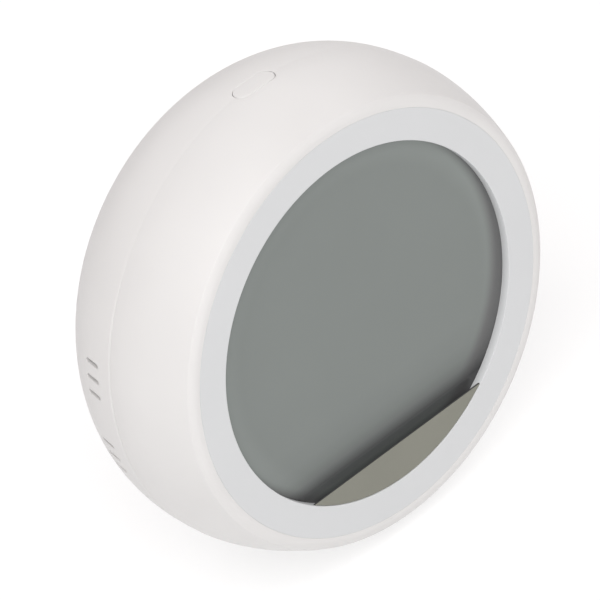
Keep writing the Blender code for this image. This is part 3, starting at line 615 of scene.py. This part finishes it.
def make_finishes():
    """One material for each slot of the record."""
    return {
        "shell_white": moulded_plastic("shell_white", (0.697, 0.690, 0.681), 0.48),
        "ring_white": moulded_plastic("ring_white", RING_TONE, 0.4, 8000.0, 0.002 * MM, 0.008),
        "cover_grey": moulded_plastic("cover_grey", (0.205, 0.206, 0.170), 0.42, 7000.0,
                                      0.003 * MM, 0.03),
        "display_glass": display_glass("display_glass"),
        "inner_white": moulded_plastic("inner_white", (0.74, 0.74, 0.72), 0.6, 4000.0, 0.01 * MM),
        "guide_clear": clear_acrylic("guide_clear"),
        "reflector_white": moulded_plastic("reflector_white", (0.88, 0.88, 0.87), 0.3),
        "led_yellow": moulded_plastic("led_yellow", (0.88, 0.78, 0.35), 0.25),
        "strip_rubber": striped_film("strip_rubber", (0.36, 0.30, 0.28), (0.05, 0.05, 0.05),
                                     1500.0, "X", 0.6),
        "board_green": circuit_board("board_green"),
        "chip_black": moulded_plastic("chip_black", (0.022, 0.022, 0.024), 0.45, 5000.0,
                                      0.01 * MM, 0.1),
        "nickel": plated_metal("nickel", (0.64, 0.62, 0.58), 0.28),
        "gold_plate": plated_metal("gold_plate", (0.76, 0.58, 0.27), 0.25),
        "plunger_red": moulded_plastic("plunger_red", (0.48, 0.05, 0.04), 0.4),
        "battery_foil": pouch_foil("battery_foil"),
        "lead_red": soft_rubber("lead_red", (0.42, 0.03, 0.02)),
        "ribbon_white": striped_film("ribbon_white", (0.78, 0.78, 0.75), (0.5, 0.5, 0.5),
                                     800.0, "X"),
        "mesh_black": woven_mesh("mesh_black"),
        "foot_rubber": soft_rubber("foot_rubber", (0.5, 0.5, 0.49)),
        "screw_steel": plated_metal("screw_steel", (0.30, 0.30, 0.31), 0.3, (1.0, 1.0, 1.0)),
    }


def dress_cad_nodes(finishes):
    """Give each CAD node the material of its slot in the record."""
    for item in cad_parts.values():
        names = [slot.material.name.split(".")[0] for slot in item.material_slots if slot.material]
        for index, name in enumerate(names):
            if name in finishes:
                item.material_slots[index].material = finishes[name]


def settle(item, body, slot, *nodes, extra=()):
    """Give a finished piece its body, its finish and the CAD nodes it stands for."""
    for material in (FINISHES[slot], *extra):
        item.data.materials.append(material)
    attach(item, body)
    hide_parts(*nodes)
    return item


# ---------------------------------------------------------------- pieces

def build_front_shell():
    """Crowned lip round the ring, side down to the seam, inner wall and display seat."""
    seat_y = FRONT_Y + SEAT_DEPTH
    seat_back_y = seat_y + SEAT_THICKNESS
    corners = [(GROOVE_RADIUS, seat_y, 0.0), (GROOVE_RADIUS, FRONT_Y, GROOVE_EDGE)]
    for step in range(LIP_CROWN_STEPS + 1):
        reach = (LIP_CROWN_END - LIP_CROWN_START) * step / LIP_CROWN_STEPS
        drop = reach ** 2 / (2 * LIP_CROWN_RADIUS)
        corners.append((LIP_CROWN_START + reach, FRONT_Y + drop, 0.0))
    corners.append((LIP_CORNER_RADIUS, FRONT_Y + LIP_CORNER_DROP, LIP_CORNER_FILLET))
    corners += body_curve(FRONT_Y + SIDE_START, WIDEST_Y, 22)
    corners += [(body_radius(SEAM_Y), SEAM_Y, FRONT_SEAM_EDGE)]
    corners += body_curve(SEAM_Y, seat_back_y, 10, WALL)
    corners += [(SEAT_RADIUS, seat_back_y, 0.0), (SEAT_RADIUS, seat_y, 0.0)]
    shell = lathe("front_housing", rounded_profile(corners))
    close_seam(shell, FRONT_SEAM_EDGE)
    carve(shell, shared_cutter())
    return settle(shell, "housing", "shell_white", "front_shell")


def shared_cutter():
    """The button's opening and the flat underside, which both shells share."""
    shape = bmesh.new()
    add_opening(shape, BUTTON_HALF_X + BUTTON_END_SLIT, BUTTON_HALF_Y + BUTTON_SLIT, SEAM_Y,
                BUTTON_HOLE_EDGE, BUTTON_HOLE_DEPTH)
    half_width, well_below = 20 * MM, -10 * MM
    outline = rounded_rectangle((-half_width, FRONT_Y + MM), (half_width, BACK_Y - MM), MM)
    add_loft(shape, [laid(outline, z) for z in (well_below, FLAT_Z)])
    return add_mesh("shared_cutter", shape)


def build_rear_shell():
    """Rear half with its tongue, screw posts, wells, vents and socket opening."""
    tongue_outer = body_radius(SEAM_Y, WALL) - GAP
    tongue_inner = tongue_outer - TONGUE_THICKNESS
    tongue_end_y, tongue_edge = SEAM_Y - TONGUE_REACH, 0.2 * MM
    floor_y = BACK_Y - WALL
    corners = [(0.0, floor_y, 0.0)]
    corners += body_curve(floor_y, SEAM_Y + TONGUE_ROOT_END, 12, WALL)
    corners += [(tongue_inner, SEAM_Y + TONGUE_ROOT_START, 0.0),
                (tongue_inner, tongue_end_y, tongue_edge),
                (tongue_outer, tongue_end_y, tongue_edge), (tongue_outer, SEAM_Y, 0.0),
                (body_radius(SEAM_Y), SEAM_Y, REAR_SEAM_EDGE)]
    corners += body_curve(SEAM_Y + 0.8 * MM, BACK_Y - 1.0 * MM, 30)
    corners += [(body_radius(BACK_Y - 0.2 * MM), BACK_Y, BACK_EDGE), (0.0, BACK_Y, 0.0)]
    shell = lathe("rear_housing", rounded_profile(corners))
    close_seam(shell, REAR_SEAM_EDGE)
    carve(shell, post_tool(), "UNION")
    carve(shell, rear_cutter())
    carve(shell, shared_cutter())
    return settle(shell, "housing", "shell_white", "rear_shell")


def close_seam(shell, edge):
    """The seam is tight at the top and opens down the sides: shrink its rounded edge there."""
    edge_radius, reach = body_radius(SEAM_Y), edge + 0.05 * MM
    for vert in shell.data.vertices:
        height = vert.co.z - CENTRE_Z
        radius = math.hypot(vert.co.x, height)
        if abs(radius - edge_radius) > reach or abs(vert.co.y - SEAM_Y) > reach:
            continue
        share = min(1.0, max(SEAM_LEAST, (SEAM_CLOSED - height / edge_radius) / SEAM_FADE))
        vert.co.y = SEAM_Y + (vert.co.y - SEAM_Y) * share
        scale = (edge_radius + (radius - edge_radius) * share) / radius
        vert.co.x, vert.co.z = vert.co.x * scale, CENTRE_Z + height * scale


def post_tool():
    """Screw posts, rooted in the back wall."""
    shape = bmesh.new()
    root_y = BACK_Y - WALL + 0.5 * MM
    for degrees in SCREW_DEG:
        outline = circle(*on_circle(SCREW_CIRCLE, degrees), POST_RADIUS)
        add_loft(shape, [upright(outline, y) for y in (POST_END_Y, root_y)])
    return add_mesh("posts", shape)


def rear_cutter():
    """Room for the button's flange, vents round the sides, screw wells, socket opening."""
    shape = bmesh.new()
    room = rounded_rectangle(*zip(FLANGE_ROOM_X, FLANGE_ROOM_Y), 0.5 * MM)
    add_loft(shape, [laid(room, z) for z in FLANGE_ROOM_Z])
    for side_deg in (90 + VENT_DROP_DEG, -90 - VENT_DROP_DEG):
        for group_deg in (-VENT_GROUP_DEG, VENT_GROUP_DEG):
            for slot in (-1, 0, 1):
                turn = side_deg + group_deg + slot * VENT_PITCH_DEG
                add_opening(shape, VENT_HALF_WIDTH, VENT_HALF_LENGTH, VENT_Y,
                            VENT_EDGE, VENT_DEPTH, turn)
    for degrees in SCREW_DEG:
        outline = circle(*on_circle(SCREW_CIRCLE, degrees), WELL_RADIUS)
        narrow = SHANK_HOLE_RADIUS - WELL_RADIUS
        add_back_hole(shape, outline, back_rim(WELL_EDGE) + [
            (0.0, POST_FLOOR_Y), (narrow, POST_FLOOR_Y), (narrow, POST_END_Y - MM)])
    outline = pill(SOCKET_HIGH.x + GAP, SOCKET_HIGH.z - SOCKET_Z + GAP, (0.0, SOCKET_Z))
    add_back_hole(shape, outline, back_rim(SOCKET_HOLE_EDGE) + [(0.0, BACK_Y - WALL - MM)])
    return add_mesh("rear_cutter", shape)


def build_ring():
    """Flat ring whose face meets the lip; its inner wall has a material of its own, with painted
    light and painted shade.
    """
    back_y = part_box("bezel_ring")[1].y
    profile = rounded_profile([
        (RING_INNER_RADIUS, FRONT_Y, RING_INNER_EDGE), (GROOVE_RADIUS, FRONT_Y, GROOVE_EDGE),
        (GROOVE_RADIUS, back_y, 0.0), (RING_INNER_RADIUS + MM, back_y, 0.0),
        (RING_INNER_RADIUS, LCD_LOW.y - 0.02 * MM, 0.0)])
    ring = lathe("display_ring", profile)
    wall_start_y = FRONT_Y + 0.1 * MM
    for face in ring.data.polygons:
        radius = math.hypot(face.center.x, face.center.z - CENTRE_Z)
        if radius < RING_INNER_RADIUS and face.center.y > wall_start_y:
            face.material_index = 1
    # the wall's material is the ring's plastic with painted light and painted shade
    wall = ring_wall_painted_light("ring_wall")
    return settle(ring, "housing", "ring_white", "bezel_ring", extra=(wall,))


def chord_disc(radius, drop, steps=160):
    """(x, z) outline of a disc cut off by a level line, drop below its centre."""
    flat_deg = math.degrees(math.asin(drop / radius))
    return arc(0.0, CENTRE_Z, radius, -flat_deg, 180 + flat_deg, steps)


def build_display():
    """Two bonded glass plates with ground edges; the front plate reaches lower."""
    shape = bmesh.new()
    middle_y = (LCD_LOW.y + LCD_HIGH.y) / 2
    front_plate = chord_disc(LCD_RADIUS, CENTRE_Z - LCD_LOW.z)
    rear_plate = chord_disc(LCD_RADIUS - REAR_PLATE_INSET, REAR_PLATE_DROP)
    for outline, low, high in ((front_plate, LCD_LOW.y, middle_y),
                               (rear_plate, middle_y, LCD_HIGH.y)):
        levels = ((LCD_EDGE, low), (0.0, low + LCD_EDGE), (0.0, high - LCD_EDGE), (LCD_EDGE, high))
        add_loft(shape, [upright(inset_outline(outline, inset), y) for inset, y in levels])
    glass = add_mesh("display_glass_pair", shape, 20)
    return settle(glass, "housing", "display_glass", "lcd_panel")


def build_ledge_cover():
    """Flat plate over the contact ledge; its cut edge is painted near-black, as painted shade along
    the cover's top.
    """
    radius = RING_INNER_RADIUS - COVER_GAP
    flat_deg = math.degrees(math.asin(CHORD_DROP / radius))
    outline = arc(0.0, CENTRE_Z, radius, 180 + flat_deg, 360 - flat_deg, 80)
    levels = ((COVER_EDGE, COVER_LOW.y), (0.0, COVER_LOW.y + COVER_EDGE), (0.0, COVER_HIGH.y))
    shape = bmesh.new()
    add_loft(shape, [upright(inset_outline(outline, inset), y) for inset, y in levels])
    shape.normal_update()
    for face in shape.faces:
        if abs(face.normal.y) < 0.5:
            face.material_index = 1
    # near-black on the cut edge is painted shade, standing in for the shade along the cover's top
    edge = moulded_plastic("cover_edge_painted_shade", (0.05, 0.051, 0.053), 0.6)
    cover = add_mesh("contact_cover", shape)
    return settle(cover, "housing", "cover_grey", "ledge_cover", extra=(edge,))


def cap_outline(growth):
    """(x, y) outline of the button's cap, grown by a distance."""
    return pill(BUTTON_HALF_X + growth, BUTTON_HALF_Y + growth, (0.0, SEAM_Y))


def build_button():
    """Cap that follows the housing, proud and rounded at its front, with its flange and stem."""
    crown_insets = (1.9 * MM, 1.4 * MM, 0.9 * MM, 0.5 * MM)
    levels = [(inset, 0.0) for inset in crown_insets]
    levels += quarter_turn(BUTTON_EDGE, (0, 20, 40, 60, 75, 90))
    rings = []
    for inset, depth in levels:
        ring = []
        for x, y, z in below_top(cap_outline(-inset), 0.0):
            forward = (SEAM_Y + BUTTON_HALF_Y - y) / (2 * BUTTON_HALF_Y)
            ring.append((x, y, z + (BUTTON_RISE - depth) * forward))
        rings.append(ring)
    flange_bottom_z = FLANGE_TOP_Z - FLANGE_THICKNESS
    rings += [laid(cap_outline(0.0), FLANGE_TOP_Z), laid(cap_outline(FLANGE_MARGIN), FLANGE_TOP_Z),
              laid(cap_outline(FLANGE_MARGIN), flange_bottom_z)]
    stem = pill(STEM_RADIUS, STEM_RADIUS, (0.0, SEAM_Y))
    rings += [laid(stem, z) for z in (flange_bottom_z, BUTTON_STEM_END_Z)]
    shape = bmesh.new()
    add_loft(shape, rings)
    bmesh.ops.remove_doubles(shape, verts=shape.verts, dist=CAP_MERGE_DISTANCE)
    return settle(add_mesh("push_button", shape), "button", "shell_white", "button_cap")


def build_foot():
    """Rubber pad under the flat, with a rounded lower edge."""
    low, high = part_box("rubber_foot")
    outline = rounded_rectangle((low.x, low.y), (high.x, high.y), FOOT_CORNER, 10)
    levels = quarter_turn(FOOT_EDGE, (0, 30, 60, 90)) + [(0.0, FLAT_Z + 0.01 * MM)]
    shape = bmesh.new()
    add_loft(shape, [laid(inset_outline(outline, inset), z) for inset, z in levels])
    return settle(add_mesh("foot_pad", shape), "housing", "foot_rubber", "rubber_foot")


def build_socket():
    """Drawn socket shell with a rolled mouth, and the tongue with its contacts."""
    outline = pill(SOCKET_HIGH.x, SOCKET_HIGH.z - SOCKET_Z, (0.0, SOCKET_Z), 16)
    mouth, roll = SOCKET_HIGH.y, 0.12 * MM
    levels = [(0.0, SOCKET_LOW.y), (0.0, mouth - roll), (roll, mouth),
              (SOCKET_WALL - 0.05 * MM, mouth), (SOCKET_WALL, mouth - 0.1 * MM),
              (SOCKET_WALL, SOCKET_LOW.y + 0.8 * MM)]
    shape = bmesh.new()
    add_loft(shape, [upright(inset_outline(outline, inset), y) for inset, y in levels])
    settle(add_mesh("socket_shell", shape), "housing", "nickel", "usb_socket")

    low, high, tip = CONTACT_LOW, CONTACT_HIGH, 0.15 * MM
    outline = rounded_rectangle((low.x, low.z), (high.x, high.z), tip)
    levels = ((0.0, low.y), (0.0, high.y - tip), (tip, high.y))
    shape = bmesh.new()
    add_loft(shape, [upright(inset_outline(outline, inset), y) for inset, y in levels])
    start_y, end_y, corner = low.y + MM, high.y - 0.5 * MM, 0.08 * MM
    for face_z, thickness in ((high.z, CONTACT_THICKNESS), (low.z, -CONTACT_THICKNESS)):
        for index in range(CONTACT_COUNT):
            x = (index - (CONTACT_COUNT - 1) / 2) * CONTACT_PITCH
            outline = rounded_rectangle((x - CONTACT_HALF_WIDTH, start_y),
                                        (x + CONTACT_HALF_WIDTH, end_y), corner, 2)
            levels = (face_z - thickness * 2, face_z + thickness)
            add_loft(shape, [laid(outline, z) for z in levels], 1)
    tongue = add_mesh("socket_tongue", shape)
    settle(tongue, "housing", "chip_black", "usb_tongue", extra=(FINISHES["gold_plate"],))


def build_screw(node_name):
    """Pan-head screw in the back, with a cross recess and cut thread."""
    low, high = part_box(node_name)
    centre_x, centre_z = (low.x + high.x) / 2, (low.z + high.z) / 2
    head_y = POST_FLOOR_Y + HEAD_LIFT
    profile = [(0.0, HEAD_HEIGHT), (HEAD_RADIUS * 0.62, HEAD_HEIGHT * 0.98),
               (HEAD_RADIUS * 0.86, HEAD_HEIGHT * 0.8), (HEAD_RADIUS * 0.98, HEAD_HEIGHT * 0.45),
               (HEAD_RADIUS, 0.0), (SHANK_RADIUS, 0.0)]
    depth, crest = 0.5 * MM, False
    while depth < SHANK_LENGTH - 0.8 * MM:
        profile.append((SHANK_RADIUS - (0.0 if crest else THREAD_DEPTH), -depth))
        depth, crest = depth + THREAD_HALF_PITCH, not crest
    profile += [(SHANK_RADIUS * 0.5, -SHANK_LENGTH), (0.0, -SHANK_LENGTH)]
    placed = [(radius, head_y + y) for radius, y in profile]
    screw = lathe(node_name + "_turned", placed, centre_x, centre_z, 32)

    arm, half_slot = HEAD_RADIUS * 0.6, HEAD_RADIUS * 0.14
    cross = [(arm, -half_slot), (arm, half_slot), (half_slot, half_slot),
             (half_slot, arm), (-half_slot, arm), (-half_slot, half_slot),
             (-arm, half_slot), (-arm, -half_slot), (-half_slot, -half_slot),
             (-half_slot, -arm), (half_slot, -arm), (half_slot, -half_slot)]
    levels = ((head_y + HEAD_HEIGHT + 0.1 * MM, 1.1), (head_y + HEAD_HEIGHT * 0.35, 0.7))
    shape = bmesh.new()
    add_loft(shape, [[(centre_x + u * scale, y, centre_z + v * scale) for u, v in cross]
                     for y, scale in levels])
    carve(screw, add_mesh("recess", shape))
    return settle(screw, "housing", "screw_steel", node_name)


def build_screws():
    """The three screws that hold the shells together."""
    for number in (1, 2, 3):
        build_screw(f"shell_screw_{number}")


# ---------------------------------------------------------------- stage, light and camera

def build_floor():
    """Large pale sheet under the object, softly lit from below like a light table."""
    shape = bmesh.new()
    outline = rounded_rectangle((-FLOOR_HALF_SIZE, -FLOOR_HALF_SIZE),
                                (FLOOR_HALF_SIZE, FLOOR_HALF_SIZE), FLOOR_CORNER, 8)
    shape.faces.new([shape.verts.new(point) for point in laid(outline, 0.0)])
    floor = add_mesh("floor", shape)
    material, tree, shader = start_material("floor_sheet", FLOOR_TONE, 0.9)
    shader.inputs["Specular IOR Level"].default_value = 0.1
    shader.inputs["Emission Color"].default_value = WHITE
    shader.inputs["Emission Strength"].default_value = FLOOR_GLOW
    tree.links.new(blend(tree, noise(tree, 8.0), FLOOR_TONE, tinted(FLOOR_TONE, 1.02)),
                   shader.inputs["Base Color"])
    floor.data.materials.append(material)


def outward(azimuth_deg, elevation_deg):
    """Unit vector away from the object; azimuth 0 is at -Y, and 90 at +X."""
    azimuth, elevation = math.radians(azimuth_deg), math.radians(elevation_deg)
    return Vector((math.sin(azimuth) * math.cos(elevation),
                   -math.cos(azimuth) * math.cos(elevation), math.sin(elevation)))


def add_softbox(name, azimuth_deg, elevation_deg, watts):
    """Square area light round the object, aimed at its centre."""
    away = outward(azimuth_deg, elevation_deg)
    light = bpy.data.lights.new(name, "AREA")
    light.shape = "SQUARE"
    light.size = SOFTBOX_SIZE
    light.energy = watts
    lamp = bpy.data.objects.new(name, light)
    lamp.location = Vector((0.0, 0.0, CENTRE_Z)) + away * SOFTBOX_DISTANCE
    lamp.rotation_mode = "QUATERNION"
    lamp.rotation_quaternion = away.to_track_quat("Z", "Y")
    lamp.visible_camera = False
    bpy.context.scene.collection.objects.link(lamp)


def build_lights():
    """Even light from all round, the softboxes, and a pale backdrop that only the camera sees."""
    world = bpy.data.worlds.new("studio")
    world.use_nodes = True
    tree = world.node_tree
    background = tree.nodes["Background"]
    background.inputs["Color"].default_value = WORLD_TONE
    background.inputs["Strength"].default_value = WORLD_STRENGTH
    backdrop = node(tree, "ShaderNodeBackground", {"Color": WHITE, "Strength": BACKDROP_STRENGTH})
    seen = node(tree, "ShaderNodeLightPath").outputs["Is Camera Ray"]
    mixed = node(tree, "ShaderNodeMixShader",
                 {0: seen, 1: background.outputs[0], 2: backdrop.outputs[0]})
    tree.links.new(mixed.outputs[0], tree.nodes["World Output"].inputs["Surface"])
    bpy.context.scene.world = world
    for settings in SOFTBOXES:
        add_softbox(*settings)


def build_camera():
    """Camera from the front left and above, rolled a little about its line of sight."""
    azimuth, roll = math.radians(CAMERA_AZIMUTH), math.radians(CAMERA_ROLL)
    right = Vector((math.cos(azimuth), math.sin(azimuth), 0.0))
    back = outward(CAMERA_AZIMUTH, CAMERA_ELEVATION)
    up = back.cross(right)
    tilted_right = right * math.cos(roll) + up * math.sin(roll)
    tilted_up = up * math.cos(roll) - right * math.sin(roll)
    target = Vector((0.0, WIDEST_Y, CENTRE_Z)) - tilted_right * AIM_LEFT - tilted_up * AIM_DOWN
    data = bpy.data.cameras.new("camera")
    data.sensor_width, data.lens = SENSOR_MM, LENS_MM
    data.clip_start, data.clip_end = 0.1, 20.0
    camera = bpy.data.objects.new("camera", data)
    rotation = Matrix((tilted_right, tilted_up, back)).transposed()
    camera.matrix_world = Matrix.Translation(target + back * CAMERA_DISTANCE) @ rotation.to_4x4()
    bpy.context.scene.collection.objects.link(camera)
    bpy.context.scene.camera = camera
    bpy.context.scene.view_settings.view_transform = "Standard"


FINISHES = make_finishes()
dress_cad_nodes(FINISHES)
build_front_shell()
build_rear_shell()
build_ring()
build_display()
build_ledge_cover()
build_button()
build_foot()
build_socket()
build_screws()
build_floor()
build_lights()
build_camera()
